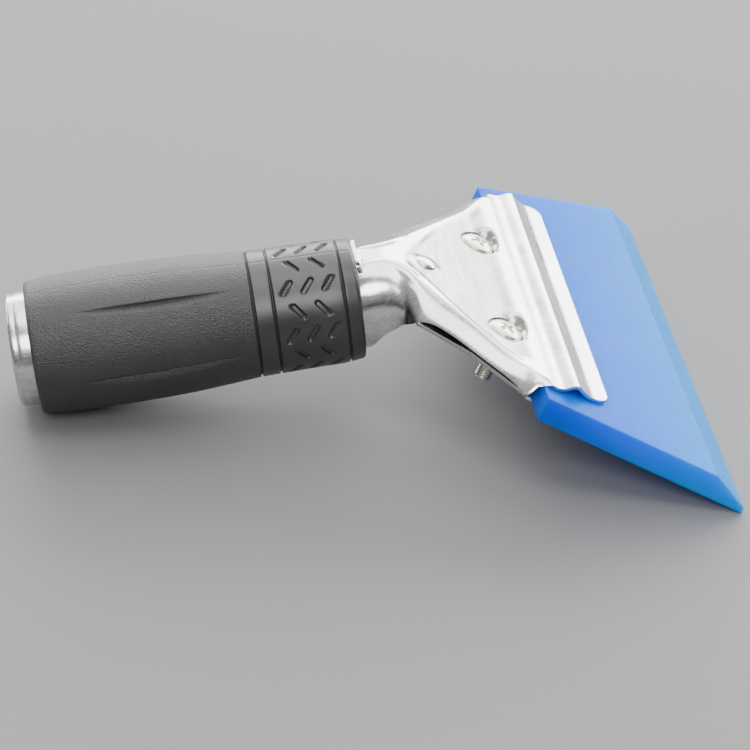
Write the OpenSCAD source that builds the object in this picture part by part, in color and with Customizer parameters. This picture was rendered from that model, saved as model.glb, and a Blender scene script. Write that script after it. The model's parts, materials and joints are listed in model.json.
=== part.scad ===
// Hand squeegee applicator: a soft tapered blade clamped in a bent two-jaw metal head
// on a short rubber-gripped socket handle. It lies as it rests on a bench: the blade's
// working edge and the heel of the grip touch z = 0. +X points to the working edge,
// +Y across the tool. The origin is the centre of its footprint box.

/* [Blade] */
// Length of the working edge
blade_edge_w = 127; // [115:1:140]
// Length of the clamped rear edge
blade_rear_w = 97; // [92:1:105]
// Depth from the rear edge to the working edge
blade_depth = 50; // [46:0.5:56]
// Thickness of the slab
blade_t = 6.35; // [6:0.05:6.8]
// Depth of the bevelled strip along the working edge
bevel_w = 8.7; // [6:0.1:11]
// Drop of the bevel from the top face
bevel_drop = 4.75; // [3.5:0.05:5.2]

/* [Head] */
// Thickness of the stamped steel sheet
sheet_t = 0.9; // [0.8:0.05:1]
// Half width of the head at its front clamping band
head_half_w = 44.4; // [43:0.1:45]
// Drop of the head's turned-down side walls
skirt_drop = 3; // [2.8:0.1:3.4]
// Depth of the recessed panel between the side ridges
panel_recess = 1.1; // [0.8:0.1:1.3]
// Angle between the handle and the blade's plane
neck_bend = 29.2; // [27:0.2:31]
// Outer radius of the round neck
neck_r = 11.7; // [11.5:0.1:12]

/* [Clamp screws] */
// Distance of each screw from the centre line
screw_y = 19.8; // [18:0.2:22]
// Distance of the screws behind the blade's rear edge
screw_back = 4.6; // [4.6:0.1:5]
// Nominal radius of the screw's shank
screw_r = 2; // [1.9:0.05:2]
// Radius of the screw's head
screw_head_r = 4; // [3.8:0.1:4]
// Level of the screw's end under the blade's top face
screw_reach = 15.5; // [14:0.5:16.5]

/* [Grip] */
// Length of the rubber grip
grip_len = 78.3; // [76:0.1:80]
// Radius of the grip at its thick middle
grip_mid_r = 16.67; // [16.4:0.01:17]
// Depth of the three ring grooves
ring_groove_d = 0.8; // [0.4:0.1:1]
// Number of slot rows round the grip's front
slot_rows = 16; // [12:2:18]
// Number of long finger grooves round the grip's rear
finger_grooves = 6; // [4:1:8]
// Radius of the pole socket's mouth
socket_r = 12.1; // [12:0.05:12.15]

/* [Hidden] */
$fn = 96;

// Gap left between the clamped blade and each jaw
jaw_gap = 0.1;
// A hair's overlap for clean cuts
eps = 0.02;
// A cut that runs right through any sheet
through = 40;

// Centre of the grip's front face, in the blade's own X and Z
grip_x = -34.4;
grip_z = -15.3;
// Blunt rear edge of the grip
grip_chamfer = 0.6;
// How far the bright butt ring stands out behind the grip, and its radius
butt_out = 4.8;
butt_r = 13.6;
lip_r = 1.1;

// Grip outline: distance from the grip's front face, outer radius
grip_outline = [[0, 14.1], [0.4, 14.4], [3.7, 14.84], [20.6, 15.15], [25.3, 15.24], [33, 15.8],
    [41.2, 16.35], [52, grip_mid_r - 0.02], [63.4, grip_mid_r], [71, 16.45],
    [grip_len - grip_chamfer, 16], [grip_len, 15.4]];
ring_grooves = [3.7, 20.6, 25.3];
// The sleeve is turned a little on its tube, so its mould seam isn't quite on top.
grip_roll = 5;

// The tool rests on the blade's lower working corner and the grip's lower heel.
heel_r = 16;
heel_x = grip_x - (grip_len - grip_chamfer) * cos(neck_bend) + heel_r * sin(neck_bend);
heel_z = grip_z - (grip_len - grip_chamfer) * sin(neck_bend) - heel_r * cos(neck_bend);
rest_tilt = atan2(-blade_t - heel_z, blade_depth - heel_x);
function row_x(x, z) = x * cos(rest_tilt) + z * sin(rest_tilt);
function row_z(x, z) = -x * sin(rest_tilt) + z * cos(rest_tilt);
raise = -row_z(blade_depth, -blade_t);
front_x = row_x(blade_depth, -bevel_drop);
lip_s = grip_len + butt_out - lip_r;
lip_centre_r = butt_r - lip_r;
back_x = row_x(grip_x - lip_s * cos(neck_bend) - lip_centre_r * sin(neck_bend),
    grip_z - lip_s * sin(neck_bend) + lip_centre_r * cos(neck_bend)) - lip_r;
shift_x = -(front_x + back_x) / 2;

// Levels in the blade's own frame, where Z = 0 is the blade's top face
band_top = sheet_t + jaw_gap;
ridge_top = -0.3;
panel_top = ridge_top - panel_recess;
dimple_top = panel_top - 0.5;
jaw_top = -blade_t - jaw_gap;
jaw_bottom = jaw_top - sheet_t;

// Front edge of the head's flat lip, and how far the bead behind it rises
lip_x = 16.2;
bead_rise = 1.75;

// Clamp screw details
screw_x = -screw_back;
screw_head_h = 1.4;
screw_dome_r = 11;
dimple_r = screw_head_r + 0.15;
cross_w = 0.9;
cross_len = 4.6;
cross_d = 0.8;
nut_h = 3.2;
nut_flat = 7;
nut_bore_r = screw_r + 0.5;

// Fulcrum rivet details
rivet_x = -22.6;
rivet_r = 1.8;
rivet_neck_r = 1.2;
rivet_foot_r = 2.2;
rivet_foot_h = 1;
rivet_head_r = 2.7;
rivet_head_h = 0.9;
rivet_play = 0.25;

// Stations of the head from the neck to its front band. Each is [x, z of the top centre,
// lean of the section, half width, drop of the wall, width of the side slope,
// roundness of the side slope (2 = round, 1 = straight), share of the panel's recess]
stations = [
    [-35.7, -2.65, neck_bend, neck_r, 13, 10.6, 2, 0],
    [-33.5, -1.5, 24, 12, 12.2, 9.6, 2, 0],
    [-31.2, -0.9, 17, 13.6, 10.8, 8.6, 1.7, 0],
    [-28.8, -0.5, 14, 17.4, 8, 9.6, 1.25, 0.3],
    [-26.4, ridge_top, 6, 19.7, 5.7, 9.3, 1.1, 0.9],
    [-23, ridge_top, 0, 21.6, skirt_drop + 1.1, 7.3, 1.1, 1],
    [-18, ridge_top, 0, 25.8, skirt_drop + 0.7, 5.9, 1.1, 1],
    [-8, ridge_top, 0, 36.4, skirt_drop + 0.3, 5, 1.15, 1],
    [-3.4, ridge_top, 0, 41, skirt_drop, 3.9, 1.4, 1],
    [-1, band_top, 0, head_half_w - 1.4, skirt_drop + 1.4, 2.8, 2, 0]
];
shoulder_steps = 6;
ridge_w = 2.6;

// Half of one head section: [y, depth], from the top centre to the wall's lower edge
function half_section(s, t) =
    let (w = s[3] - t, r = max(s[5] - t, 1), flat = w - r, d = s[4] - t,
        p = max(flat - ridge_w, flat * 0.5), power = 2 / s[6], recess = panel_recess * s[7])
    concat(
        [[0, recess], [p * 0.96, recess], [p + (flat - p) * 0.35, 0], [flat, 0]],
        [for (i = [1:shoulder_steps]) let (a = 90 * i / shoulder_steps)
            [flat + r * pow(sin(a), power), d * (1 - pow(cos(a), power))]]
    );
// A whole closed ring of the sheet: outside over the top, then back along the inside
function section_ring(s) =
    let (o = half_section(s, 0), n = half_section(s, sheet_t), m = len(o) - 1)
    concat(
        [for (i = [m:-1:1]) [-o[i][0], o[i][1]]], o,
        [for (i = [m:-1:0]) [n[i][0], n[i][1] + sheet_t]],
        [for (i = [1:m]) [-n[i][0], n[i][1] + sheet_t]]
    );
function section_points(s) = [for (q = section_ring(s))
    [s[0] + q[1] * sin(s[2]), q[0], s[1] - q[1] * cos(s[2])]];

// Puts the blade's own frame into the resting pose.
module resting() {
    translate([shift_x, 0, raise])
        rotate([0, rest_tilt, 0])
            children();
}

// Handle frame: +Z runs from the grip's front face to the butt, +X is up.
module along_handle() {
    translate([grip_x, 0, grip_z])
        rotate([0, -90 - neck_bend, 0])
            children();
}

// A solid of revolution round the handle from [distance, radius] points
module turned(points) {
    rotate_extrude()
        polygon([for (q = points) [q[1], q[0]]]);
}

// A plate profile drawn in X and Z, extruded over y = -w to w
module cross_profile(points, w) {
    rotate([90, 0, 0])
        linear_extrude(2 * w, center = true)
            polygon(points);
}

// Trapezoid seen from above: half width a at x0, half width b at x1
module wedge(x0, a, x1, b, z0, h) {
    translate([0, 0, z0])
        linear_extrude(h)
            polygon([[x0, -a], [x1, -b], [x1, b], [x0, a]]);
}

// Tapered polyurethane slab, bevelled on top along its working edge
module blade() {
    color([0.1, 0.42, 0.85])
        resting()
            intersection() {
                wedge(0, blade_rear_w / 2, blade_depth, blade_edge_w / 2, -blade_t, blade_t);
                cross_profile([[0, -blade_t], [blade_depth, -blade_t],
                    [blade_depth, -bevel_drop], [blade_depth - bevel_w, 0], [0, 0]], blade_edge_w);
            }
}

// The flared head, lofted through its stations
module head_loft() {
    rings = [for (s = stations) section_points(s)];
    n = len(rings[0]);
    last = len(stations) - 1;
    end = last * n;
    polyhedron(
        points = [for (ring = rings) for (p = ring) p],
        faces = concat(
            [for (i = [0:last - 1]) for (j = [0:n - 1]) let (k = (j + 1) % n)
                [i * n + j, i * n + k, i * n + n + j]],
            [for (i = [0:last - 1]) for (j = [0:n - 1]) let (k = (j + 1) % n)
                [i * n + k, i * n + n + k, i * n + n + j]],
            // The two open ends, closed by strips from the outside to the inside
            [for (j = [0:n / 2 - 2]) [j + 1, j, n - 1 - j]],
            [for (j = [0:n / 2 - 2]) [j + 1, n - 1 - j, n - 2 - j]],
            [for (j = [0:n / 2 - 2]) [end + j, end + j + 1, end + n - 1 - j]],
            [for (j = [0:n / 2 - 2]) [end + j + 1, end + n - 2 - j, end + n - 1 - j]]
        ));
}

// Front band: flat on the blade, up over a bead, then down to a flat lip
module clamp_band() {
    lip_corner = 3;
    back_w = head_half_w - 1.8;
    bead_low = jaw_gap + bead_rise;
    bead_top = band_top + bead_rise;
    intersection() {
        cross_profile([[-1.1, jaw_gap], [4.4, jaw_gap], [6.1, bead_low], [8.1, bead_low], [11.4, jaw_gap],
            [lip_x, jaw_gap], [lip_x, band_top], [11.8, band_top], [8.7, bead_top], [5.5, bead_top],
            [3.9, band_top], [-1.1, band_top]], head_half_w);
        translate([0, 0, -1])
            linear_extrude(5)
                union() {
                    polygon([[-2, back_w], [5, head_half_w], [lip_x - lip_corner, head_half_w],
                        [lip_x - lip_corner, -head_half_w], [5, -head_half_w], [-2, -back_w]]);
                    translate([0, lip_corner - head_half_w])
                        square([lip_x, 2 * (head_half_w - lip_corner)]);
                    for (side = [-1, 1])
                        translate([lip_x - lip_corner, side * (head_half_w - lip_corner)])
                            circle(lip_corner);
                }
    }
}

// Round neck behind the head: open underneath in front, a closed sleeve inside the grip
module neck() {
    along_handle()
        difference() {
            translate([0, 0, -5.6])
                cylinder(r = neck_r, h = 19.6);
            translate([0, 0, -6])
                cylinder(r = neck_r - sheet_t, h = 21);
            // The sheet's lower edges part in front of the grip.
            translate([-9.5, 0, 0])
                rotate([0, -46, 0])
                    translate([-30, -through / 2, -15])
                        cube([30, through, 30]);
        }
    // Tab bent up against the grip's front face
    along_handle()
        translate([neck_r - 0.5, -5.9, -1.1])
            cube([2.1, 11.8, 1]);
}

module upper_shell() {
    color([0.86, 0.87, 0.88])
        resting()
            difference() {
                union() {
                    head_loft();
                    clamp_band();
                    neck();
                    // Cups pressed in the panel under the screw heads, flat towards the blade
                    for (side = [-1, 1])
                        intersection() {
                            translate([screw_x, side * screw_y, dimple_top - sheet_t])
                                cylinder(r = dimple_r + sheet_t, h = sheet_t + 1.4);
                            translate([screw_x - 10, side * screw_y - 10, dimple_top - 5])
                                cube([10 + screw_back - 0.1, 20, 10]);
                        }
                }
                for (side = [-1, 1])
                    translate([screw_x, side * screw_y, 0]) {
                        translate([0, 0, dimple_top])
                            cylinder(r = dimple_r, h = through / 2);
                        translate([0, 0, -through / 2])
                            cylinder(r = screw_r + 0.1, h = through / 2);
                    }
                translate([rivet_x, 0, -through / 2])
                    cylinder(r = rivet_r + 0.03, h = through);
            }
}

// Conical socket tube inside the grip, with a straight mouth for the pole
module handle_tube() {
    color([0.72, 0.73, 0.75])
        resting()
            along_handle()
                turned([[-4, neck_r - sheet_t - 0.9], [-4, neck_r - sheet_t - 0.05],
                    [14, neck_r - sheet_t - 0.05], [21, 12], [62, socket_r + 1],
                    [lip_s - 1, socket_r + 1], [lip_s - 1, socket_r], [61, socket_r],
                    [21, 11], [14, neck_r - sheet_t - 0.9]]);
}

// Bright ferrule pressed over the tube's end, its mouth rolled in to a round lip
module butt_ferrule() {
    sleeve_s = grip_len - 6;
    color([0.88, 0.88, 0.87])
        resting()
            along_handle()
                difference() {
                    union() {
                        translate([0, 0, sleeve_s])
                            cylinder(r = butt_r, h = lip_s - sleeve_s);
                        translate([0, 0, lip_s])
                            rotate_extrude()
                                translate([lip_centre_r, 0])
                                    circle(lip_r, $fn = 32);
                        translate([0, 0, lip_s - 1])
                            cylinder(r = lip_centre_r, h = 1 + lip_r);
                    }
                    translate([0, 0, sleeve_s - 1])
                        cylinder(r = socket_r + 1.02, h = lip_s - sleeve_s);
                    cylinder(r = socket_r, h = grip_len + butt_out + 1);
                }
}

// V-edged disc that cuts one lens-shaped groove running along the grip
module groove_disc(r, half_t) {
    rotate([90, 0, 0]) {
        cylinder(r1 = r, r2 = r - half_t, h = half_t, $fn = 360);
        mirror([0, 0, 1])
            cylinder(r1 = r, r2 = r - half_t, h = half_t, $fn = 360);
    }
}

// One short slot pressed into the grip's front, slanted either way
module grip_slot(s, slant) {
    slot_w = 1.25;
    slot_len = 4.6;
    slot_floor = 14.3;
    translate([slot_floor, 0, s])
        rotate([slant, 0, 0])
            translate([0, -slot_w / 2, -slot_len / 2])
                cube([4, slot_w, slot_len]);
}

module rubber_grip() {
    groove_len = 35.4;
    groove_depth = 0.8;
    groove_s = 48.7;
    // The groove's rim line follows the grip's slight taper.
    groove_r = 16.15;
    groove_lean = 1.4;
    disc_r = (pow(groove_len / 2, 2) + pow(groove_depth, 2)) / (2 * groove_depth);
    slots_s = 12.1;
    slant = 53;
    row_step = 360 / slot_rows;
    color([0.13, 0.13, 0.14])
        resting()
            along_handle()
                difference() {
                    turned(concat(grip_outline, [[grip_len, butt_r + 0.05],
                        [grip_len - 6.1, butt_r + 0.05], [grip_len - 6.1, socket_r + 1.05],
                        [62, socket_r + 1.05], [21, 12.05], [14.2, neck_r + 0.05],
                        [0, neck_r + 0.05]]));
                    for (s = ring_grooves)
                        turned([[s - 0.55, 16], [s, 14.9 - ring_groove_d + s * 0.012], [s + 0.55, 16]]);
                    for (i = [0:finger_grooves - 1])
                        rotate([0, 0, -grip_roll - (i + 0.5) * 360 / finger_grooves])
                            translate([groove_r, 0, groove_s])
                                rotate([0, groove_lean, 0])
                                    translate([disc_r - groove_depth, 0, 0])
                                        groove_disc(disc_r, 3);
                    for (i = [0:slot_rows - 1]) {
                        few = i % 2 == 0;
                        step = few ? 5.8 : 4.95;
                        count = few ? 2 : 3;
                        rotate([0, 0, -grip_roll - (i + 0.5) * row_step])
                            for (k = [0:count - 1])
                                grip_slot(slots_s + (k - (count - 1) / 2) * step, few ? -slant : slant);
                    }
                }
}

// Headed post riveted in the head; the lower jaw rocks on its shouldered foot.
module fulcrum_rivet() {
    seat_z = panel_top + 0.12;
    shoulder_z = jaw_top + rivet_play;
    foot_z = jaw_bottom - rivet_play;
    dome_r = 6;
    color([0.8, 0.8, 0.8])
        resting()
            translate([rivet_x, 0, 0]) {
                intersection() {
                    translate([0, 0, seat_z])
                        cylinder(r = rivet_head_r, h = rivet_head_h);
                    translate([0, 0, seat_z + rivet_head_h - dome_r])
                        sphere(dome_r);
                }
                translate([0, 0, shoulder_z])
                    cylinder(r = rivet_r, h = seat_z - shoulder_z + eps);
                translate([0, 0, foot_z - rivet_foot_h])
                    cylinder(r = rivet_neck_r, h = shoulder_z - foot_z + rivet_foot_h + eps);
                translate([0, 0, foot_z - rivet_foot_h])
                    cylinder(r = rivet_foot_r, h = rivet_foot_h);
            }
}

// Lower jaw: a flat plate under the blade, with low turned-up flanges behind the blade
// and a front edge turned down as a stiffening lip
module lower_jaw() {
    back = [-25.4, 20.3];
    waist = [-12.8, 27];
    rear = [-0.6, 38.8];
    front = [15.4, 40.4];
    wall_back = [-22, 22.1];
    wall_h = 0.6;
    lip_drop = 1.6;
    hole_slack = 0.5;
    module trapezoid(a, b, z0, h, inset = 0) {
        wedge(a[0], a[1] - inset, b[0], b[1] - inset, z0, h);
    }
    color([0.78, 0.79, 0.8])
        resting()
            difference() {
                union() {
                    trapezoid(back, waist, jaw_bottom, sheet_t);
                    trapezoid(waist, rear, jaw_bottom, sheet_t);
                    trapezoid(rear, front, jaw_bottom, sheet_t);
                    difference() {
                        union() {
                            trapezoid(wall_back, waist, jaw_bottom, wall_h + sheet_t);
                            trapezoid(waist, rear, jaw_bottom, wall_h + sheet_t);
                        }
                        trapezoid(wall_back - [eps, 0], waist, jaw_top, 10, sheet_t);
                        trapezoid(waist, rear + [eps, 0], jaw_top, 10, sheet_t);
                    }
                    trapezoid(front - [sheet_t, 0.1], front, jaw_bottom - lip_drop, lip_drop + eps);
                }
                for (side = [-1, 1])
                    translate([screw_x, side * screw_y, -through / 2])
                        cylinder(r = screw_r + hole_slack, h = through);
                translate([rivet_x, 0, -through / 2])
                    cylinder(r = rivet_neck_r + 0.3, h = through);
            }
}

// Low domed cross-head screw
module clamp_screw(side) {
    seat_z = dimple_top + 0.05;
    color([0.83, 0.8, 0.7])
        resting()
            translate([screw_x, side * screw_y, 0]) {
                difference() {
                    intersection() {
                        translate([0, 0, seat_z])
                            cylinder(r = screw_head_r, h = screw_head_h);
                        translate([0, 0, seat_z + screw_head_h - screw_dome_r])
                            sphere(screw_dome_r);
                    }
                    translate([0, 0, seat_z + screw_head_h - cross_d])
                        for (turn = [0, 90])
                            rotate([0, 0, turn])
                                translate([-cross_len / 2, -cross_w / 2, 0])
                                    cube([cross_len, cross_w, 2]);
                }
                translate([0, 0, 0.5 - screw_reach])
                    cylinder(r = screw_r, h = seat_z + screw_reach - 0.5 + eps);
                translate([0, 0, -screw_reach])
                    cylinder(r1 = screw_r - 0.5, r2 = screw_r, h = 0.5);
            }
}

module clamp_screw_near() {
    clamp_screw(-1);
}

module clamp_screw_far() {
    clamp_screw(1);
}

// Hexagon nut held under the lower jaw
module clamp_nut(side) {
    color([0.75, 0.74, 0.68])
        resting()
            translate([screw_x, side * screw_y, jaw_bottom - nut_h])
                difference() {
                    rotate([0, 0, 30])
                        cylinder(d = nut_flat / cos(30), h = nut_h, $fn = 6);
                    translate([0, 0, -1])
                        cylinder(r = nut_bore_r, h = nut_h + 2);
                }
}

module clamp_nut_near() {
    clamp_nut(-1);
}

module clamp_nut_far() {
    clamp_nut(1);
}

blade();
upper_shell();
handle_tube();
butt_ferrule();
rubber_grip();
fulcrum_rivet();
lower_jaw();
clamp_screw_near();
clamp_screw_far();
clamp_nut_near();
clamp_nut_far();
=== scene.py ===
"""Looks of the hand squeegee: a blue blade in a polished steel head on a black rubber grip."""
import json
import math

import bmesh
import bpy
import numpy as np
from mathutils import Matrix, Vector


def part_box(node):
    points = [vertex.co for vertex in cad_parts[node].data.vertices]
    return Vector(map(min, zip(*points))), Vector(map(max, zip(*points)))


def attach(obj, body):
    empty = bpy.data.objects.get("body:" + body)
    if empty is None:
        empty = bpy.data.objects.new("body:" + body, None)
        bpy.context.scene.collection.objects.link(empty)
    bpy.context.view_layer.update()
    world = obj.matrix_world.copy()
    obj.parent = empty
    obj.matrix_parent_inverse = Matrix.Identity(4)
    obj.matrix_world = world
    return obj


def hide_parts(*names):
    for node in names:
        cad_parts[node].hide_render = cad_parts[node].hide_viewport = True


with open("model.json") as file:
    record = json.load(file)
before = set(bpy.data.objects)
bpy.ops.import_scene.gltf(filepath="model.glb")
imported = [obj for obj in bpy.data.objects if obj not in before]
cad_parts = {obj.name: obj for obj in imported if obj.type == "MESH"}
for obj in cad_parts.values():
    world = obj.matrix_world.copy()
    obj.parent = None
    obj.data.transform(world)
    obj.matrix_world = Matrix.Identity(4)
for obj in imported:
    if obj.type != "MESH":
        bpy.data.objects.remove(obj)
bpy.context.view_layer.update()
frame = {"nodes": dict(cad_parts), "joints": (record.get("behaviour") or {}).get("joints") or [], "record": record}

MM = 0.001
ACROSS = Vector((0.0, 1.0, 0.0))


# ---------------------------------------------------------------- places, from the frame
JOINTS = {joint["name"]: joint for joint in frame["joints"]}
SOCKET = frame["record"]["mounts"][0]
# The blade's own frame: forward to its working edge, and up from its top face
FORWARD = Vector(JOINTS["blade_slide"]["axis"]).normalized()
UP = Vector(JOINTS["screw_near_turn"]["axis"]).normalized()
# The handle's frame: towards the butt, and up from the grip
BUTT = Vector(SOCKET["axis"]).normalized()
GRIP_UP = Vector((BUTT.z, 0.0, -BUTT.x))

BLADE_T = 6.35
BLADE_DEPTH = 50.0
BLADE_REAR_HALF = 48.5
BLADE_EDGE_HALF = 63.5
BEVEL_W = 8.7
BEVEL_DROP = 4.75
blade_low, blade_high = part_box("blade")
# Middle of the blade's rear top edge, the origin of its frame
BLADE_ORIGIN = Vector((blade_low[0] + BLADE_T * MM * UP.x, 0.0, blade_high[2]))

# The handle's lengths run back from the grip's front face
SOCKET_MID_S = 72.0
SOCKET_R = 12.1
GRIP_FRONT = Vector(SOCKET["pos_m"]) - BUTT * SOCKET_MID_S * MM
GRIP_LEN = 78.3
GRIP_ROLL = math.radians(-5.0)
RING_GROOVES = (3.7, 20.6, 25.3)


def on_blade(x, y, z):
    """A point given in the blade's frame, in millimetres."""
    return BLADE_ORIGIN + (FORWARD * x + ACROSS * y + UP * z) * MM


def in_blade_frame(v):
    """A direction in the frame of the blade."""
    return np.array([v.dot(FORWARD), 0.0, v.dot(UP)])


def on_handle(s, r, angle):
    """A point s mm behind the grip's front face, r mm from the axis, at an angle from the top."""
    return GRIP_FRONT + (BUTT * s + (GRIP_UP * math.cos(angle) + ACROSS * math.sin(angle)) * r) * MM


# ---------------------------------------------------------------- small tools
def smooth(t):
    """0 below 0, 1 above 1, and an easy slope between."""
    t = np.clip(t, 0.0, 1.0)
    return t * t * (3.0 - 2.0 * t)


def curve_through(points):
    """A smooth function through a few [x, y] points."""
    xs = np.array([p[0] for p in points], float)
    ys = np.array([p[1] for p in points], float)
    slopes = np.gradient(ys, xs)

    def at(x):
        x = np.clip(x, xs[0], xs[-1])
        i = np.clip(np.searchsorted(xs, x, side="right") - 1, 0, len(xs) - 2)
        span = xs[i + 1] - xs[i]
        t = (x - xs[i]) / span
        a = ys[i] * (1 + 2 * t) * (1 - t) ** 2 + ys[i + 1] * t * t * (3 - 2 * t)
        return a + span * (slopes[i] * t * (1 - t) ** 2 - slopes[i + 1] * t * t * (1 - t))
    return at


def curve_points(points):
    """Straight runs between a few [x, y] points."""
    xs, ys = zip(*points)
    return lambda x: float(np.interp(x, xs, ys))


def steps(a, b, step):
    """Evenly spaced values from a to b, about a step apart, both ends included."""
    return np.linspace(a, b, max(2, int(round(abs(b - a) / step)) + 1))


def grid_mesh(name, points, wrap_columns=False, wrap_rows=False, keep=None):
    """A mesh of quads over a rows-by-columns array of points. keep(row, column) picks the quads."""
    rows, cols = points.shape[:2]
    faces = []
    for i in range(rows if wrap_rows else rows - 1):
        for j in range(cols if wrap_columns else cols - 1):
            if keep is None or keep(i, j):
                k, m = (j + 1) % cols, (i + 1) % rows
                faces.append((i * cols + j, i * cols + k, m * cols + k, m * cols + j))
    mesh = bpy.data.meshes.new(name)
    mesh.from_pydata([tuple(p) for p in points.reshape(-1, 3)], [], faces)
    mesh.update()
    return mesh


def tidy_mesh(mesh, merge=1e-7):
    """Welds doubles, drops loose points and faces every normal outwards."""
    work = bmesh.new()
    work.from_mesh(mesh)
    bmesh.ops.remove_doubles(work, verts=work.verts, dist=merge)
    bmesh.ops.dissolve_degenerate(work, edges=work.edges, dist=merge)
    loose = [v for v in work.verts if not v.link_faces]
    bmesh.ops.delete(work, geom=loose, context="VERTS")
    bmesh.ops.recalc_face_normals(work, faces=work.faces)
    work.to_mesh(mesh)
    work.free()


def piece(name, mesh, material, body, node):
    """Adds a finished piece to the scene: where it rides and its finish, and hides the CAD part it stands for."""
    obj = bpy.data.objects.new(name, mesh)
    bpy.context.scene.collection.objects.link(obj)
    mesh.materials.append(material)
    mesh.shade_smooth()
    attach(obj, body)
    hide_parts(node)
    return obj


def bevel(obj, width, segments=2, angle=50.0, flat_faces=False):
    """Rounds the edges sharper than an angle. flat_faces keeps the shading beside them flat."""
    mod = obj.modifiers.new("soft edges", "BEVEL")
    mod.width = width * MM
    mod.segments = segments
    mod.limit_method = "ANGLE"
    mod.angle_limit = math.radians(angle)
    mod.harden_normals = flat_faces


def round_angles(columns):
    """Evenly spaced angles once round an axis."""
    return np.arange(columns) * 2 * math.pi / columns


def turned(place, profile, columns):
    """Points of a profile [(s, r), ...] turned round an axis. place(s, r, angle) gives each point."""
    return np.array([[place(s, r, angle) for angle in round_angles(columns)] for s, r in profile])


def mirrored_points(half):
    """Half rows of points in the blade's frame, and their mirror image, as points of the scene."""
    mirrored = half[:, :0:-1, :] * np.array([1.0, -1.0, 1.0])
    whole = np.concatenate([mirrored, half], axis=1)
    return np.array([[on_blade(*p) for p in row] for row in whole])


def face_towards(mesh, direction):
    """Turns an open sheet so that its outside, where its thickness starts, faces one way."""
    if sum(face.normal.dot(direction) * face.area for face in mesh.polygons) < 0:
        mesh.flip_normals()


def thicken(obj, thickness):
    """Gives a sheet its thickness, inwards."""
    mod = obj.modifiers.new("sheet", "SOLIDIFY")
    mod.thickness = thickness * MM
    mod.offset = -1.0


def set_stops(ramp, stops):
    """Gives a colour ramp its stops [(place, colour), ...]."""
    while len(ramp.elements) < len(stops):
        ramp.elements.new(0.5)
    for element, (place, colour) in zip(ramp.elements, stops):
        element.position = place
        element.color = (*colour, 1.0)


# ---------------------------------------------------------------- materials
class Nodes:
    """A material under construction: its shader, and short ways to add nodes."""

    def __init__(self, name, **sockets):
        self.material = bpy.data.materials.new(name)
        self.material.use_nodes = True
        self.tree = self.material.node_tree
        self.shader = self.tree.nodes["Principled BSDF"]
        for key, value in sockets.items():
            self.shader.inputs[key.replace("_", " ")].default_value = value
        self.coords = self.add("ShaderNodeTexCoord").outputs["Object"]

    def add(self, kind, **settings):
        node = self.tree.nodes.new(kind)
        for key, value in settings.items():
            setattr(node, key, value)
        return node

    def link(self, a, b):
        self.tree.links.new(a, b)

    def scaled(self, scale, rotation=(0.0, 0.0, 0.0)):
        """The object's coordinates, turned and stretched for a texture."""
        node = self.add("ShaderNodeMapping")
        node.inputs["Scale"].default_value = scale
        node.inputs["Rotation"].default_value = rotation
        self.link(self.coords, node.inputs["Vector"])
        return node.outputs["Vector"]

    def noise(self, scale, detail=3.0, roughness=0.55, vector=None, distortion=0.0):
        node = self.add("ShaderNodeTexNoise")
        node.inputs["Distortion"].default_value = distortion
        node.inputs["Scale"].default_value = scale
        node.inputs["Detail"].default_value = detail
        node.inputs["Roughness"].default_value = roughness
        self.link(vector or self.coords, node.inputs["Vector"])
        return node.outputs["Fac"]

    def spread(self, value, low, high, out_low=0.0, out_high=1.0):
        """Maps a value from one range to another."""
        node = self.add("ShaderNodeMapRange")
        for key, number in (("From Min", low), ("From Max", high),
                            ("To Min", out_low), ("To Max", out_high)):
            node.inputs[key].default_value = number
        self.link(value, node.inputs["Value"])
        return node.outputs["Result"]

    def ramp(self, value, stops):
        node = self.add("ShaderNodeValToRGB")
        set_stops(node.color_ramp, stops)
        self.link(value, node.inputs["Fac"])
        return node.outputs["Color"]

    def math(self, operation, a, b):
        node = self.add("ShaderNodeMath", operation=operation)
        for socket, value in zip(node.inputs, (a, b)):
            if isinstance(value, (int, float)):
                socket.default_value = value
            else:
                self.link(value, socket)
        return node.outputs["Value"]

    def bump(self, height, distance, strength=1.0, under=None):
        node = self.add("ShaderNodeBump")
        node.inputs["Strength"].default_value = strength
        node.inputs["Distance"].default_value = distance
        self.link(height, node.inputs["Height"])
        if under is not None:
            self.link(under, node.inputs["Normal"])
        return node.outputs["Normal"]

    def set(self, socket, value):
        self.link(value, self.shader.inputs[socket])


def urethane_material():
    """Tinted, slightly cloudy polyurethane. Its colour is painted a little paler towards its working edge, a
    painted glow of light through the blade, and darker at its rear, painted shade from the head.
    """
    m = Nodes("blue_urethane", IOR=1.36, Specular_IOR_Level=0.06, Subsurface_Weight=0.7,
              Subsurface_Scale=0.012, Subsurface_Radius=(0.02, 0.30, 1.0))
    cloud = m.noise(38.0, 4.0)
    # Painted light: the base colour runs from painted shade at the rear to a painted glow at the working edge.
    along = m.add("ShaderNodeVectorMath", operation="DOT_PRODUCT")
    m.link(m.coords, along.inputs[0])
    along.inputs[1].default_value = tuple(FORWARD)
    rear = FORWARD.dot(BLADE_ORIGIN)
    painted_edge_glow = m.spread(along.outputs["Value"], rear - 0.004, rear + BLADE_DEPTH * MM)
    painted_glow_and_cloud = m.math("ADD", m.math("MULTIPLY", painted_edge_glow, 0.85), m.math("MULTIPLY", cloud, 0.2))
    m.set("Base Color", m.ramp(painted_glow_and_cloud, [(0.05, (0.0, 0.080, 0.52)), (0.45, (0.0, 0.150, 0.90)),
                                      (1.0, (0.0, 0.30, 1.0))]))
    dust = m.noise(900.0, 2.0)
    film = m.noise(60.0, 5.0, 0.6)
    worn = m.math("ADD", m.spread(dust, 0.62, 0.75, 0.0, 0.12), m.spread(film, 0.35, 0.7, 0.24, 0.34))
    m.set("Roughness", worn)
    ripple = m.bump(m.noise(26.0, 2.0), 0.0005, 0.1)
    m.set("Normal", m.bump(dust, 0.00003, 0.3, ripple))
    return m.material


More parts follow.
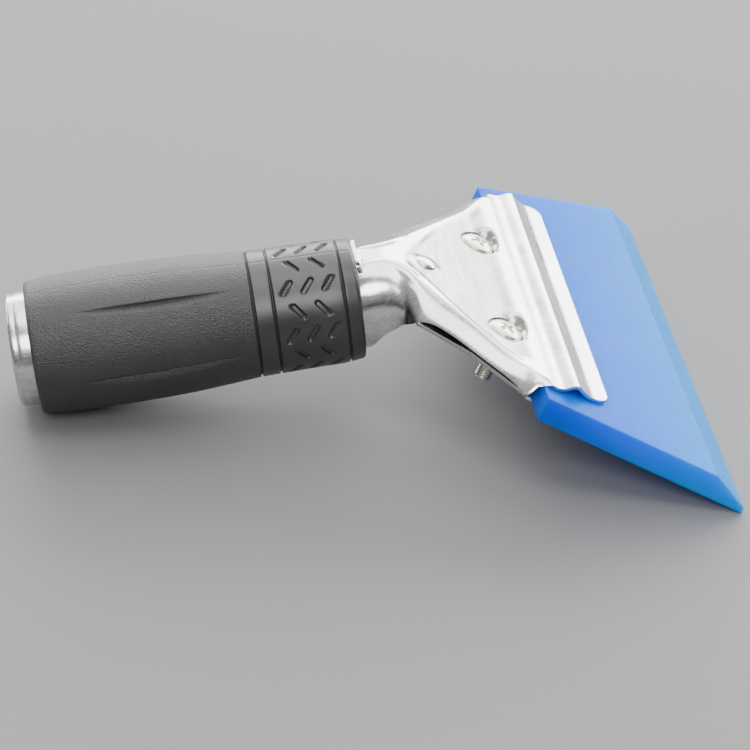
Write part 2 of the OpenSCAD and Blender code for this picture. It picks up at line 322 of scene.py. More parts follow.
def steel_material(name, tint, rough, scratch=1.0, scratch_turn=0.6, recess=False):
    """Polished stainless sheet with fine polishing scratches along one direction. A recess the
    polishing wheel doesn't reach is rougher, with curved scratches, and its colour is painted darker as painted
    shade."""
    m = Nodes(name, Metallic=1.0)
    lines = m.noise(1.0, 4.0, 0.6, m.scaled((260.0, 2600.0, 900.0), (0.0, 0.0, scratch_turn)))
    warm = m.math("ADD", m.math("MULTIPLY", m.noise(45.0, 3.0), 0.5), m.math("MULTIPLY", lines, 0.5))
    low = tuple(c * 0.72 for c in tint)
    hazy = m.noise(90.0, 4.0)
    worn = m.math("ADD", m.spread(hazy, 0.3, 0.75, rough * 0.75, rough * 1.35),
                  m.spread(lines, 0.45, 0.8, 0.0, 0.10 * scratch))
    fine = m.bump(lines, 0.00001, 0.35 * scratch)
    if recess:
        recess_mask = m.add("ShaderNodeAttribute", attribute_name="recess").outputs["Fac"]
        swirl = m.noise(1.0, 3.0, 0.6, m.scaled((420.0, 70.0, 300.0), (0.0, 0.0, -0.7)), 1.2)
        swirl_marks_and_shade = m.math("MULTIPLY", recess_mask, m.spread(swirl, 0.35, 0.65, 0.7, 1.3))
        # Painted shade: the recess's base colour is darkened, standing in for its dimmer reflection.
        warm = m.math("SUBTRACT", warm, m.math("MULTIPLY", swirl_marks_and_shade, 0.30))
        worn = m.math("ADD", worn, m.math("MULTIPLY", swirl_marks_and_shade, 0.08))
        fine = m.bump(m.math("MULTIPLY", swirl, recess_mask), 0.00006, 0.6, fine)
    m.set("Base Color", m.ramp(warm, [(0.1, tuple(c * 0.45 for c in tint)), (0.38, low), (0.56, tint)]))
    m.set("Roughness", worn)
    m.set("Normal", m.bump(m.noise(70.0, 2.0), 0.0003, 0.12, fine))
    return m.material


def rubber_material():
    """Moulded rubber: a fine leathery grain over the rear, satin at the slotted front."""
    m = Nodes("grip_rubber", IOR=1.5, Specular_IOR_Level=0.9)
    along = m.add("ShaderNodeVectorMath", operation="DOT_PRODUCT")
    m.link(m.coords, along.inputs[0])
    along.inputs[1].default_value = tuple(BUTT)
    last_groove = BUTT.dot(GRIP_FRONT) + RING_GROOVES[-1] * MM
    rear = m.spread(along.outputs["Value"], last_groove - 0.0002, last_groove + 0.0002)
    cells = m.add("ShaderNodeTexVoronoi", feature="SMOOTH_F1")
    cells.inputs["Scale"].default_value = 2900.0
    cells.inputs["Smoothness"].default_value = 0.35
    m.link(m.coords, cells.inputs["Vector"])
    grain = m.math("ADD", cells.outputs["Distance"], m.math("MULTIPLY", m.noise(2100.0, 3.0, 0.6), 0.9))
    fine = m.noise(2600.0, 2.0)
    height = m.math("ADD", m.math("MULTIPLY", grain, rear), m.math("MULTIPLY", fine, 0.12))
    m.set("Normal", m.bump(height, 0.00014, 1.0))
    dusty = m.noise(75.0, 5.0, 0.6)
    m.set("Base Color", m.ramp(dusty, [(0.3, (0.018, 0.018, 0.019)), (0.75, (0.030, 0.029, 0.030))]))
    m.set("Roughness", m.math("ADD", m.spread(dusty, 0.3, 0.7, 0.34, 0.42),
                              m.math("MULTIPLY", rear, 0.08)))
    return m.material


def zinc_material(name, tint):
    """Zinc plate: faint blotches and a fine uneven surface."""
    m = Nodes(name, Metallic=1.0)
    blotch = m.noise(420.0, 4.0, 0.6)
    m.set("Base Color", m.ramp(blotch, [(0.35, tuple(c * 0.8 for c in tint)), (0.65, tint)]))
    m.set("Roughness", m.spread(blotch, 0.3, 0.75, 0.2, 0.38))
    m.set("Normal", m.bump(m.noise(900.0, 3.0), 0.00004, 0.35))
    return m.material


def floor_material():
    m = Nodes("pale_floor", Roughness=0.6)
    m.set("Base Color", m.ramp(m.noise(3.0, 3.0), [(0.3, (0.205, 0.205, 0.21)), (0.7, (0.22, 0.22, 0.22))]))
    return m.material


URETHANE = urethane_material()
STEEL = steel_material("head_steel", (0.87, 0.87, 0.865), 0.17, recess=True)
JAW_STEEL = steel_material("jaw_steel", (0.74, 0.75, 0.76), 0.28, 1.5, 0.0)
TUBE_STEEL = steel_material("tube_steel", (0.62, 0.62, 0.62), 0.34, 1.2, 0.0)
FERRULE_STEEL = steel_material("ferrule_steel", (0.80, 0.78, 0.75), 0.22, 0.8, 1.2)
RUBBER = rubber_material()
ZINC = zinc_material("zinc_screw", (0.93, 0.89, 0.78))
ZINC_NUT = zinc_material("zinc_nut", (0.70, 0.68, 0.60))


# ---------------------------------------------------------------- blade
def make_blade():
    """The slab, with a bevel along its working edge and slightly softened cut edges."""
    def half_width(x):
        return BLADE_REAR_HALF + (BLADE_EDGE_HALF - BLADE_REAR_HALF) * x / BLADE_DEPTH

    outline = [(0.0, -BLADE_T), (BLADE_DEPTH, -BLADE_T), (BLADE_DEPTH, -BEVEL_DROP),
               (BLADE_DEPTH - BEVEL_W, 0.0), (0.0, 0.0)]
    points = np.array([[on_blade(x, side * half_width(x), z) for x, z in outline] for side in (-1, 1)])
    mesh = grid_mesh("blade", points, wrap_columns=True)
    work = bmesh.new()
    work.from_mesh(mesh)
    work.verts.ensure_lookup_table()
    count = len(outline)
    work.faces.new([work.verts[i] for i in range(count)])
    work.faces.new([work.verts[count + i] for i in reversed(range(count))])
    bmesh.ops.recalc_face_normals(work, faces=work.faces)
    work.to_mesh(mesh)
    work.free()
    obj = piece("urethane_blade", mesh, URETHANE, "blade", "blade")
    bevel(obj, 0.28, 3, 20.0, flat_faces=True)


# ---------------------------------------------------------------- head
SHEET_T = 0.9
BAND_TOP = 1.0
RIDGE_TOP = -0.3
PANEL_TOP = -1.15
NECK_R = 11.7
NECK_LEAN = math.degrees(math.acos(max(-1.0, min(1.0, -BUTT.dot(FORWARD)))))
LIP_X = 16.2
LIP_CORNER = 3.2
HEAD_HALF = 44.2
SCREW_X = -4.6
SCREW_Y = 19.8
CUP_R = 4.15
CUP_TOP = -1.85
RIVET_X = -22.6
RIVET_BOSS = 0.3
HALF_COLUMNS = 165

# The handle's axes and the middle of the grip's front face, in the blade's frame
BUTT_B = in_blade_frame(BUTT)
GRIP_UP_B = in_blade_frame(GRIP_UP)
GRIP_FRONT_B = in_blade_frame((GRIP_FRONT - BLADE_ORIGIN) / MM)


def neck_station(s, flat, half_w, reach):
    """A section of the neck, s mm behind the grip's front face."""
    top = GRIP_FRONT_B + BUTT_B * s + GRIP_UP_B * NECK_R
    return [top[0], top[2], NECK_LEAN, flat, half_w, NECK_R, 2.0, reach]


# Sections of the head: x and z of its top, lean, half width of its top, half width over all,
# drop of its side, how round the side is (2 round, 1 straight) and how far round it goes
HEAD_STATIONS = [
    neck_station(12.0, 0.0, 11.7, 176.0), neck_station(4.0, 0.0, 11.7, 176.0),
    neck_station(0.6, 0.4, 11.75, 170.0), neck_station(-1.3, 1.5, 11.85, 146.0),
    neck_station(-3.2, 2.1, 12.0, 121.0),
    [-35.7, -2.65, 29.2, 2.5, 12.3, 11.9, 2.0, 107.0],
    [-33.5, -1.5, 30.5, 3.0, 13.6, 11.9, 1.85, 96.0],
    [-31.2, -0.8, 29.0, 5.2, 16.0, 10.2, 1.38, 90.0],
    [-28.8, -0.42, 20.0, 7.3, 18.4, 7.9, 1.25, 90.0],
    [-26.4, RIDGE_TOP, 10.0, 10.0, 20.0, 5.8, 1.2, 90.0],
    [-23.0, RIDGE_TOP, 4.0, 13.9, 21.9, 4.3, 1.2, 90.0],
    [-18.0, RIDGE_TOP, 0.0, 19.6, 26.1, 3.7, 1.2, 90.0],
    [-13.0, RIDGE_TOP, -2.0, 25.4, 31.3, 3.5, 1.2, 90.0],
    [-8.0, RIDGE_TOP, -6.0, 31.1, 36.5, 3.3, 1.25, 90.0],
    [-5.6, RIDGE_TOP + 0.1, -12.0, 34.1, 38.9, 3.4, 1.32, 90.0],
    [-3.6, RIDGE_TOP + 0.5, -18.0, 36.7, 40.9, 4.0, 1.42, 90.0],
    [-2.0, BAND_TOP - 0.22, -23.0, 38.9, 42.3, 5.0, 1.5, 90.0],
    [-0.8, BAND_TOP + 0.1, -28.0, 40.3, 43.2, 5.6, 1.65, 90.0],
    [0.0, BAND_TOP + 0.18, -30.0, 41.0, 43.5, 5.7, 1.7, 90.0]]

# Edge of the recessed panel: its half width along the head
PANEL_EDGE = curve_through([(-29.5, 3.2), (-27.0, 4.9), (-24.6, 7.4), (-17.2, 18.2), (-8.6, 28.9),
                            (-2.0, 35.6), (0.0, 37.2)])
# The narrow bead that starts each ridge, along the top of the neck: its y, and its half width
BEAD_PATH = curve_through([(-38.4, 3.9), (-37.0, 3.75), (-34.0, 3.95), (-30.8, 5.9), (-28.0, 8.6),
                           (-25.0, 11.6)])
BEAD_HALF = curve_through([(-38.4, 0.75), (-34.0, 1.0), (-30.8, 1.4), (-25.0, 2.4)])

# Height of the band's top over its run: falling to a dip, bead, slope, flat lip
BAND_RISE = curve_through([(0.0, 0.18), (0.9, 0.2), (2.4, 0.08), (3.4, 0.02), (4.4, 0.25), (6.0, 1.45),
                           (6.9, 1.85), (7.8, 1.84), (8.4, 1.5), (9.2, 0.98), (10.2, 0.5), (11.2, 0.18),
                           (12.4, 0.02), (13.4, 0.0), (LIP_X, 0.0)])


def side_curve(flat, half_w, drop, roundness, reach, count):
    """Points [y, depth] of half a section: straight across its flat top, then round its side."""
    r = half_w - flat
    power = 2.0 / roundness
    a = np.radians(np.linspace(0.0, reach, 160))
    y = flat + r * np.sin(a) ** power
    cos = np.cos(a)
    depth = drop * (1.0 - np.sign(cos) * np.abs(cos) ** power)
    y, depth = np.concatenate([[0.0], y]), np.concatenate([[0.0], depth])
    along = np.concatenate([[0.0], np.cumsum(np.hypot(np.diff(y), np.diff(depth)))])
    at = np.linspace(0.0, along[-1], count)
    return np.interp(at, along, y), np.interp(at, along, depth)


def smooth_stations(stations, step_of):
    """Station rows blended along the head on a smooth curve."""
    rows = np.array(stations, float)
    at = np.concatenate([[0.0], np.cumsum(np.hypot(np.diff(rows[:, 0]), np.diff(rows[:, 1])))])
    slopes = np.empty_like(rows)
    for i in range(len(rows)):
        a, b = max(0, i - 1), min(len(rows) - 1, i + 1)
        slopes[i] = (rows[b] - rows[a]) / (at[b] - at[a])
    out, x = [], 0.0
    while True:
        i = min(int(np.searchsorted(at, x, side="right")) - 1, len(at) - 2)
        span = at[i + 1] - at[i]
        t = (x - at[i]) / span
        out.append(rows[i] * (1 + 2 * t) * (1 - t) ** 2 + rows[i + 1] * t * t * (3 - 2 * t)
                   + span * (slopes[i] * t * (1 - t) ** 2 - slopes[i + 1] * t * t * (1 - t)))
        if x >= at[-1]:
            return out
        x = min(at[-1], x + step_of(out[-1][0]))


def head_rows():
    """Half rows of points from the neck inside the grip to the rear edge of the band, and how
    far each point lies in the recessed panel."""
    def step_of(x):
        return 0.42 if x < -10.0 else (0.24 if x < -3.0 else 0.11)

    rows, recesses = [], []
    for x, z, lean, flat, half_w, drop, roundness, reach in smooth_stations(HEAD_STATIONS, step_of):
        y, depth = side_curve(max(flat, 0.0), half_w, drop, roundness, reach, HALF_COLUMNS)
        tip = math.radians(lean)
        row = np.stack([x + depth * math.sin(tip), y, z - depth * math.cos(tip)], axis=1)
        # Relief pressed into the sheet: the bead along the neck and the recessed panel
        level = row[:, 2]
        top_x = row[:, 0]
        bead_share = float(smooth((x + 38.9) / 1.2)) * (1.0 - float(smooth((x + 29.0) / 4.0)))
        bead = np.exp(-((y - BEAD_PATH(top_x)) / BEAD_HALF(top_x)) ** 4) * 0.34 * bead_share
        share = float(smooth((x + 31.0) / 8.0)) * (1.0 - float(smooth((x + 5.4) / 4.6)))
        inside = 1.0 - smooth((y - PANEL_EDGE(top_x) + 2.6) / 4.2)
        level = level + bead - (RIDGE_TOP - PANEL_TOP) * share * inside
        row[:, 2] = level
        # The panel's level runs on in front of each screw, then rises to the band
        scallop = PANEL_TOP + (BAND_TOP + 0.18 - PANEL_TOP) * smooth((top_x + 1.9) / 1.9)
        gap = np.hypot(top_x - SCREW_X, y - SCREW_Y)
        near_screw = 1.0 - smooth((gap - CUP_R - 0.3) / 2.4)
        row[:, 2] += np.minimum(scallop - row[:, 2], 0.0) * near_screw
        # Round cups under the screw heads, steep where they meet the blade
        cup = (1.0 - smooth((gap - CUP_R) / 0.8)) * (1.0 - smooth((top_x + 0.8) / 0.7))
        row[:, 2] += (CUP_TOP - row[:, 2]) * cup
        # A low round boss under the rivet's head
        boss = np.hypot(top_x - RIVET_X, y)
        row[:, 2] += RIVET_BOSS * (1.0 - smooth((boss - 2.5) / 1.9)) * (row[:, 2] > -3.0)
        rows.append(row)
        recesses.append(share * inside * (1.0 - cup))
    return rows, recesses


def band_half_width(x):
    """Half width of the band: its rear corners taper in, and its lip has round corners."""
    half = HEAD_HALF - 1.3 * (1.0 - float(smooth(x / 3.0)))
    if x > LIP_X - LIP_CORNER:
        dx = min(LIP_CORNER, x - (LIP_X - LIP_CORNER))
        half -= LIP_CORNER - math.sqrt(max(0.0, LIP_CORNER ** 2 - dx * dx))
    return half


def make_head():
    """One sheet from the neck inside the grip to the flat lip on the blade."""
    rows, recesses = head_rows()
    skirt_rows = len(rows)
    last = rows[-1]
    edge_column = int(np.argmax(last[:, 1] > HEAD_STATIONS[-1][4] - 0.75))
    share = last[:, 1] / last[edge_column, 1]
    sag = last[:, [0, 2]] - last[0, [0, 2]]
    band_x = np.concatenate([steps(0.2, LIP_X - LIP_CORNER, 0.3),
                             LIP_X - LIP_CORNER + LIP_CORNER * np.sin(np.radians(steps(8.0, 90.0, 8.0)))])
    for x in band_x:
        fade = 1.0 - float(smooth(x / 2.2))
        z = BAND_TOP + float(BAND_RISE(x))
        rows.append(np.stack([x + sag[:, 0] * fade, share * band_half_width(x), z + sag[:, 1] * fade],
                             axis=1))
        recesses.append(np.zeros(HALF_COLUMNS))
    points = mirrored_points(np.array(rows))
    cols = points.shape[1]
    spare = HALF_COLUMNS - 1 - edge_column
    recess = np.array(recesses)
    recess = np.concatenate([recess[:, :0:-1], recess], axis=1)

    def keep(i, j):
        return i < skirt_rows - 1 or spare <= j < cols - 1 - spare

    mesh = grid_mesh("head", points, keep=keep)
    recess_mask = mesh.attributes.new("recess", "FLOAT", "POINT")
    recess_mask.data.foreach_set("value", recess.ravel().astype(np.float32))
    tidy_mesh(mesh)
    face_towards(mesh, UP)
    obj = piece("steel_head", mesh, STEEL, "handle", "upper_shell")
    thicken(obj, SHEET_T)
    bevel(obj, 0.14)


def make_stop_tab():
    """Tab bent up from the neck against the grip's front face, with a rounded root."""
    half_w, top, thick, corner = 5.9, 13.35, 0.95, 0.9
    root_r, face_s = 1.3, -1.1
    root_s = face_s - root_r
    profile = [(-3.2, NECK_R - 0.25), (root_s, NECK_R - 0.15)]
    for a in steps(15.0, 90.0, 15.0):
        t = math.radians(a)
        profile.append((root_s + root_r * math.sin(t), NECK_R - 0.1 + root_r * (1 - math.cos(t))))
    profile.append((face_s + 0.05, top))
    across = steps(-half_w, half_w, 0.6)

    def place(s, lift, y):
        # The tab follows the neck's round top at its root and is straight at its free edge.
        blend = float(smooth((lift - NECK_R + 0.3) / 1.4))
        sag = NECK_R - math.sqrt(NECK_R ** 2 - y * y)
        edge = max(0.0, abs(y) - (half_w - corner))
        trim = corner - math.sqrt(max(0.0, corner * corner - edge * edge))
        height = lift - sag * (1.0 - blend) - (trim if lift > top - 0.01 else 0.0)
        return GRIP_FRONT + (BUTT * s + GRIP_UP * height + ACROSS * y) * MM

    points = np.array([[place(s, lift, y) for y in across] for s, lift in profile])
    mesh = grid_mesh("stop_tab", points)
    tidy_mesh(mesh)
    face_towards(mesh, -BUTT)
    obj = piece("stop_tab", mesh, STEEL, "handle", "upper_shell")
    thicken(obj, thick)
    bevel(obj, 0.12)


# ---------------------------------------------------------------- lower jaw
JAW_GAP = 0.1
JAW_TOP = -BLADE_T - JAW_GAP
JAW_REAR = -25.4
JAW_FRONT = 15.4


def make_jaw():
    """Plate under the blade: low flanges turned up behind it, front edge turned down."""
    outline = curve_points([(JAW_REAR, 20.3), (-12.8, 27.0), (-0.6, 38.8), (JAW_FRONT, 40.4)])
    wall_from, wall_to, wall_h = -25.3, -0.7, 0.6
    bend_r, bend_steps = 1.3, 8
    inner_r = bend_r - SHEET_T
    lip_r, lip_drop = 1.2, 1.3
    across = np.linspace(0.0, 1.0, 24)
    xs = np.concatenate([steps(JAW_REAR, wall_from, 0.1), steps(wall_from + 0.05, wall_to, 0.8),
                         steps(wall_to + 0.05, JAW_FRONT - lip_r, 0.9)])
    rows = []
    for x in xs:
        w = outline(x) - (bend_r if wall_from <= x <= wall_to + 0.01 else 0.0)
        row = [(x, w * f, JAW_TOP) for f in across]
        for a in np.linspace(90.0 / bend_steps, 90.0, bend_steps):
            t = math.radians(a)
            row.append((x, w + inner_r * math.sin(t), JAW_TOP + inner_r * (1 - math.cos(t))))
        # The flange grows a little towards the blade.
        height = inner_r + (wall_h - inner_r) * float(smooth((x + 25.0) / 20.0))
        row.append((x, w + inner_r, JAW_TOP + height))
        rows.append(row)
    for a in steps(15.0, 90.0, 15.0):
        t = math.radians(a)
        x = JAW_FRONT - lip_r + lip_r * math.sin(t)
        w = outline(x) - 0.4 * math.sin(t)
        row = [(x, w * f, JAW_TOP - lip_r * (1 - math.cos(t))) for f in across]
        rows.append(row + [row[-1]] * (bend_steps + 1))
    rows.append([(x, y, z - lip_drop) for x, y, z in rows[-1]])
    points = mirrored_points(np.array(rows))
    cols = points.shape[1]
    side = bend_steps + 1

    def keep(i, j):
        # Only the walled stretch has its flanges' columns.
        if side <= j < cols - 1 - side:
            return True
        return i < len(xs) and wall_from <= xs[i] and xs[min(i + 1, len(xs) - 1)] <= wall_to + 0.01

    mesh = grid_mesh("jaw", points, keep=keep)
    tidy_mesh(mesh, 1e-6)
    face_towards(mesh, UP)
    obj = piece("lower_jaw_plate", mesh, JAW_STEEL, "lower_jaw", "lower_jaw")
    thicken(obj, SHEET_T)
    bevel(obj, 0.12)


# ---------------------------------------------------------------- screws, nuts, rivet
def on_post(x, y, z0):
    """Places turned points round an axis square to the blade at (x, y), z up from z0."""
    def place(z, r, angle):
        return on_blade(x + r * math.cos(angle), y + r * math.sin(angle), z0 + z)
    return place


SCREW_SEAT = CUP_TOP
SCREW_REACH = 15.5
SCREW_R = 2.0
SCREW_HEAD_R = 4.0
SCREW_HEAD_H = 1.4
CROSS_DEPTH = 0.85
THREAD_PITCH = 0.7
THREAD_DEPTH = 0.32


def make_screw(name, side, node, turn):
    """Domed cross-head screw with a rolled thread."""
    def dome(r):
        return SCREW_HEAD_H - 0.68 * (r / SCREW_HEAD_R) ** 2.4

    def cross_depth(r, angle):
        deepest = 0.0
        for quarter in (0.0, math.pi / 2):
            u = abs(r * math.cos(angle - quarter - turn))
            v = abs(r * math.sin(angle - quarter - turn))
            arm = 1.0 - float(smooth((v - 0.32) / 0.22))
            reach = 1.0 - float(smooth((u - 1.5) / 0.9))
            deepest = max(deepest, arm * reach)
        well = 1.0 - float(smooth((r - 0.4) / 0.7))
        return CROSS_DEPTH * max(deepest, well)

    place = on_post(SCREW_X, side * SCREW_Y, SCREW_SEAT)
    angles = round_angles(96)
    rows = []
    for r in np.concatenate([[0.001], steps(0.15, 3.6, 0.13)]):
        rows.append([place(dome(r) - cross_depth(r, a), r, a) for a in angles])
    for z, r in ((0.74, 3.8), (0.66, 3.92), (0.5, SCREW_HEAD_R), (0.1, SCREW_HEAD_R), (0.02, 3.93),
                 (0.0, 3.85), (0.0, 2.1)):
        rows.append([place(z, r, a) for a in angles])
    shank = SCREW_REACH + SCREW_SEAT
    for z in steps(0.0, -shank + 0.02, 0.1):
        ring = []
        for a in angles:
            phase = (z / THREAD_PITCH - a / (2 * math.pi)) % 1.0
            cut = THREAD_DEPTH * (1.0 - abs(2.0 * phase - 1.0)) * float(smooth((-z - 1.8) / 0.7))
            tip = 0.45 * float(smooth((-z - shank + 0.7) / 0.7))
            ring.append(place(z, SCREW_R - cut - tip, a))
        rows.append(ring)
    rows.append([place(-shank, 0.001, a) for a in angles])
    mesh = grid_mesh(name, np.array(rows), wrap_columns=True)
    tidy_mesh(mesh, 3e-6)
    body = "screw_near" if side < 0 else "screw_far"
    piece(name, mesh, ZINC, body, node)


def make_nut(name, side, node):
    """Hexagon nut with chamfered corners."""
    half_flat, height, bore, face_r = 3.5, 3.2, 2.45, 3.3
    place = on_post(SCREW_X, side * SCREW_Y, JAW_TOP - SHEET_T - height)

    def hexagon(a):
        return half_flat / math.cos((a + math.pi / 6) % (math.pi / 3) - math.pi / 6)

    rows = []
    for z, kind in ((0.25, "bore"), (0.0, "mouth"), (0.0, "face"), (None, "low"), (None, "high"),
                    (height, "face"), (height, "mouth"), (height - 0.25, "bore")):
        ring = []
        for a in round_angles(96):
            corner = (hexagon(a) - face_r) * 0.5
            if kind == "bore":
                ring.append(place(z, bore - 0.02, a))
            elif kind == "mouth":
                ring.append(place(z, bore + 0.25, a))
            elif kind == "face":
                ring.append(place(z, face_r, a))
            else:
                ring.append(place(corner if kind == "low" else height - corner, hexagon(a), a))
        rows.append(ring)
    mesh = grid_mesh(name, np.array(rows), wrap_columns=True, wrap_rows=True)
    tidy_mesh(mesh)
    obj = piece(name, mesh, ZINC_NUT, "lower_jaw", node)
    bevel(obj, 0.08, 2, 25.0, flat_faces=True)


def make_rivet():
    """Low domed rivet whose waisted foot holds the jaw's rear end."""
    seat = PANEL_TOP + RIVET_BOSS
    play, head_r, head_h = 0.25, 2.7, 0.9
    shank_r, waist_r = 1.8, 1.2
    shoulder = JAW_TOP + play
    foot = JAW_TOP - SHEET_T - play
    place = on_post(RIVET_X, 0.0, 0.0)
    profile = [(seat + head_h - 0.62 * (r / head_r) ** 2.6, max(r, 0.001)) for r in steps(0.0, 2.5, 0.25)]
    profile += [(seat + 0.24, head_r - 0.04), (seat + 0.1, head_r), (seat - 0.2, head_r - 0.02),
                (seat - 0.2, shank_r), (shoulder, shank_r), (shoulder, waist_r), (foot, waist_r),
                (foot, 2.1), (foot - 0.15, 2.2), (foot - 0.7, 2.15), (foot - 1.0, 1.7), (foot - 1.0, 0.001)]
    mesh = grid_mesh("rivet", turned(place, profile, 64), wrap_columns=True)
    tidy_mesh(mesh, 3e-6)
    obj = piece("fulcrum_post", mesh, STEEL, "handle", "fulcrum_rivet")
    bevel(obj, 0.08)


# ---------------------------------------------------------------- grip and butt
GRIP_OUTLINE = curve_through([(0.0, 14.35), (3.7, 14.84), (12.0, 15.0), (20.6, 15.15), (25.3, 15.24),
                              (33.0, 15.8), (41.2, 16.35), (52.0, 16.64), (63.4, 16.67), (71.0, 16.45),
                              (GRIP_LEN, 15.92)])
RING_DEPTH = 0.7
RING_SPREAD = 0.24
SLOT_ROWS = 16
SLOT_MIDDLE = 12.1
SLOT_HALF_LEN = 1.7
SLOT_HALF_W = 0.46
SLOT_DEPTH = 0.72


def slot_list():
    """Every short slot of the grip's front: its place, its angle round the grip and its slant."""
    out = []
    slant = math.radians(53.0)
    for row in range(SLOT_ROWS):
        few = row % 2 == 0
        count, step = (2, 5.8) if few else (3, 4.95)
        angle = GRIP_ROLL - (row + 0.5) * 2 * math.pi / SLOT_ROWS
        for k in range(count):
            out.append((SLOT_MIDDLE + (k - (count - 1) / 2) * step, angle, slant if few else -slant))
    return out


def wrapped(angle):
    """An angle brought between minus and plus half a turn."""
    return (angle + math.pi) % (2 * math.pi) - math.pi


def grip_radius(s, angles):
    """Radius of the grip's outside at s, for an array of angles."""
    base = float(GRIP_OUTLINE(s))
    r = np.full(len(angles), base)
    for groove in RING_GROOVES:
        r -= RING_DEPTH * math.exp(-((s - groove) / RING_SPREAD) ** 2)
    # Long finger grooves, tapering to points: steep on the side nearer the top, then easing out
    middle, half_len, depth, width = 48.4, 19.2, 1.0, 1.9
    taper = 1.0 - abs((s - middle) / half_len) ** 2
    if taper > 0.0:
        for k in range(3):
            for side in (-1.0, 1.0):
                u = side * base * wrapped(angles - GRIP_ROLL - side * (k + 0.5) * math.pi / 3)
                down = (u + 0.35) / (width * taper + 0.5)
                r -= depth * taper * smooth((u + 0.5) / 0.42) * np.clip(1.0 - down, 0.0, 1.0) ** 1.2
    # Short slots
    for slot_s, slot_angle, slant in SLOTS:
        if abs(s - slot_s) < 2.6:
            u = base * wrapped(angles - slot_angle)
            v = s - slot_s
            along = np.clip(u * math.sin(slant) + v * math.cos(slant), -SLOT_HALF_LEN, SLOT_HALF_LEN)
            gap = np.hypot(u - along * math.sin(slant), v - along * math.cos(slant))
            r -= SLOT_DEPTH * (1.0 - smooth((gap - SLOT_HALF_W) / 0.28))
    # Mould parting line, top and bottom
    for half_turn in (0.0, math.pi):
        u = base * wrapped(angles - GRIP_ROLL - half_turn)
        fine = 0.10 if s < RING_GROOVES[-1] else 0.06
        r -= fine * np.exp(-(u / 0.16) ** 2)
    return r


SLOTS = slot_list()


def make_grip():
    """Rubber sleeve with ring grooves, slots, finger grooves and a parting line."""
    angles = round_angles(600)
    front_round, rear_round, ring_seat_r = 0.9, 1.1, 13.66
    # Finer rows where the grooves and the slots are
    outer = np.concatenate([steps(1.0, 3.0, 0.4), steps(3.1, 4.4, 0.12), steps(4.9, 8.2, 0.5),
                            steps(8.4, 16.0, 0.17), steps(16.4, 19.8, 0.5), steps(20.0, 21.2, 0.12),
                            steps(21.8, 24.5, 0.6), steps(24.7, 25.9, 0.12),
                            steps(26.6, GRIP_LEN - 1.2, 0.8)])
    rows = []

    def plain(s, r):
        rows.append([on_handle(s, r, a) for a in angles])

    for s, r in ((9.0, SOCKET_R), (0.35, SOCKET_R), (0.08, 12.25), (0.0, 12.5), (0.0, 13.5)):
        plain(s, r)
    front_r, rear_r = float(GRIP_OUTLINE(1.0)), float(GRIP_OUTLINE(GRIP_LEN - 1.2))
    for a in steps(0.0, 75.0, 15.0):
        t = math.radians(a)
        plain(front_round * (1 - math.cos(t)), front_r - front_round * (1 - math.sin(t)))
    for s in outer:
        rows.append([on_handle(s, r, a) for r, a in zip(grip_radius(s, angles), angles)])
    for a in steps(15.0, 90.0, 15.0):
        t = math.radians(a)
        plain(GRIP_LEN - rear_round * (1 - math.sin(t)), rear_r - rear_round * (1 - math.cos(t)) - 0.03)
    for s, r in ((GRIP_LEN, 14.0), (GRIP_LEN - 0.1, 13.75), (GRIP_LEN - 0.4, ring_seat_r),
                 (GRIP_LEN - 6.0, ring_seat_r), (60.0, 13.2), (22.0, SOCKET_R + 0.05)):
        plain(s, r)
    mesh = grid_mesh("grip", np.array(rows), wrap_columns=True, wrap_rows=True)
    tidy_mesh(mesh, 1e-6)
    piece("rubber_sleeve", mesh, RUBBER, "handle", "rubber_grip")


def make_ferrule():
    """Bright ring over the tube's end, its mouth rolled in to a round lip."""
    lip_s, lip_r, ring_r, inner_r = 82.0, 1.1, 13.6, 13.12
    centre_r = ring_r - lip_r
    profile = [(72.4, 13.2), (72.3, ring_r - 0.1), (72.5, ring_r), (78.6, ring_r), (80.2, ring_r),
               (80.9, 13.55), (81.2, 13.42), (81.5, 13.45)]
    for a in steps(70.0, -128.0, 11.0):
        t = math.radians(a)
        profile.append((lip_s + lip_r * math.cos(t), centre_r + lip_r * math.sin(t)))
    profile += [(81.4, SOCKET_R + 0.02), (80.95, SOCKET_R + 0.02), (80.95, inner_r), (72.5, inner_r)]
    clear_of_bore = [(s, max(r, SOCKET_R)) for s, r in profile]
    mesh = grid_mesh("ferrule", turned(on_handle, clear_of_bore, 160), wrap_columns=True, wrap_rows=True)
    tidy_mesh(mesh, 1e-6)
    piece("butt_ring", mesh, FERRULE_STEEL, "handle", "butt_ferrule")


# ---------------------------------------------------------------- build the object
make_blade()
make_head()
make_stop_tab()
make_jaw()
make_screw("cross_screw_near", -1, "clamp_screw_near", 0.5)
make_screw("cross_screw_far", 1, "clamp_screw_far", 0.2)
make_nut("hex_nut_near", -1, "clamp_nut_near")
make_nut("hex_nut_far", 1, "clamp_nut_far")
make_rivet()
make_grip()
make_ferrule()

tube = frame["nodes"]["handle_tube"]
tube.data.materials.clear()
tube.data.materials.append(TUBE_STEEL)


# ---------------------------------------------------------------- floor, light, camera
TOOL_MIDDLE = Vector((0.0, 0.0, 0.02))
CAMERA_PLACE = (-0.08808, -0.60342, 0.40799)
CAMERA_TURN = (56.374, -1.212, -8.045)
CAMERA_LENS = 144.0
CAMERA_SENSOR = 36.0


def make_floor():
    size = 6.0
    mesh = bpy.data.meshes.new("floor")
    mesh.from_pydata([(-size, -size, 0), (size, -size, 0), (size, size, 0), (-size, size, 0)], [],
                     [(0, 1, 2, 3)])
    obj = bpy.data.objects.new("floor", mesh)
    bpy.context.scene.collection.objects.link(obj)
    mesh.materials.append(floor_material())


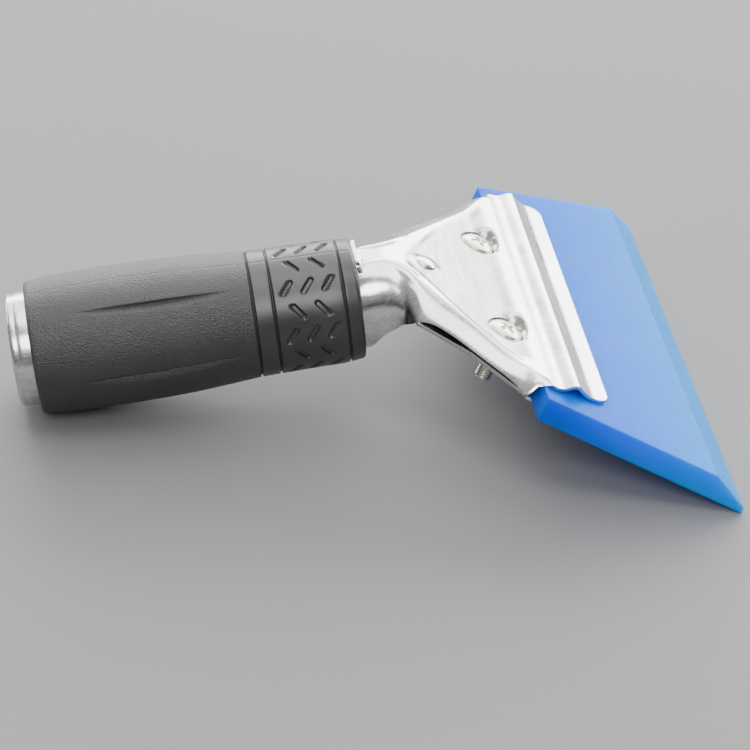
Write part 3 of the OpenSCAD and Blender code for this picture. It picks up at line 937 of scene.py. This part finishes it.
def area_light(name, place, width, height, power, shape="RECTANGLE"):
    """An area light that points at the middle of the tool."""
    data = bpy.data.lights.new(name, "AREA")
    data.shape = shape
    data.size = width
    data.size_y = height
    data.energy = power
    obj = bpy.data.objects.new(name, data)
    obj.location = place
    obj.rotation_euler = (TOOL_MIDDLE - Vector(place)).to_track_quat("-Z", "Y").to_euler()
    bpy.context.scene.collection.objects.link(obj)


def make_lights():
    """A pale room, darker near the floor, with one broad window behind the tool."""
    world = bpy.data.worlds.new("studio")
    bpy.context.scene.world = world
    world.use_nodes = True
    tree = world.node_tree
    back = tree.nodes["Background"]
    back.inputs["Strength"].default_value = 0.5
    split = tree.nodes.new("ShaderNodeSeparateXYZ")
    tree.links.new(tree.nodes.new("ShaderNodeTexCoord").outputs["Generated"], split.inputs[0])
    room = tree.nodes.new("ShaderNodeValToRGB")
    stops = ((0.0, (0.10, 0.10, 0.11)), (0.10, (0.22, 0.22, 0.23)), (0.35, (0.60, 0.61, 0.63)),
             (0.75, (1.0, 1.0, 1.0)))
    set_stops(room.color_ramp, stops)
    tree.links.new(split.outputs["Z"], room.inputs["Fac"])
    tree.links.new(room.outputs["Color"], back.inputs["Color"])
    area_light("window_behind", (0.9, 1.9, 0.85), 4.6, 1.1, 140.0)
    area_light("ceiling_behind", (0.2, 1.1, 1.6), 2.4, 1.3, 26.0)
    area_light("ceiling_over", (-0.1, -0.1, 1.7), 1.5, 0.8, 15.0)
    area_light("window_left", (-1.5, 1.6, 0.42), 1.7, 0.7, 18.0)
    area_light("lamp_front", (-0.25, -1.4, 1.4), 1.1, 0.9, 20.0, "ELLIPSE")


def make_camera():
    data = bpy.data.cameras.new("camera")
    data.lens = CAMERA_LENS
    data.sensor_width = CAMERA_SENSOR
    data.clip_start = 0.01
    obj = bpy.data.objects.new("camera", data)
    obj.location = CAMERA_PLACE
    obj.rotation_euler = [math.radians(angle) for angle in CAMERA_TURN]
    bpy.context.scene.collection.objects.link(obj)
    bpy.context.scene.camera = obj


make_floor()
make_lights()
make_camera()
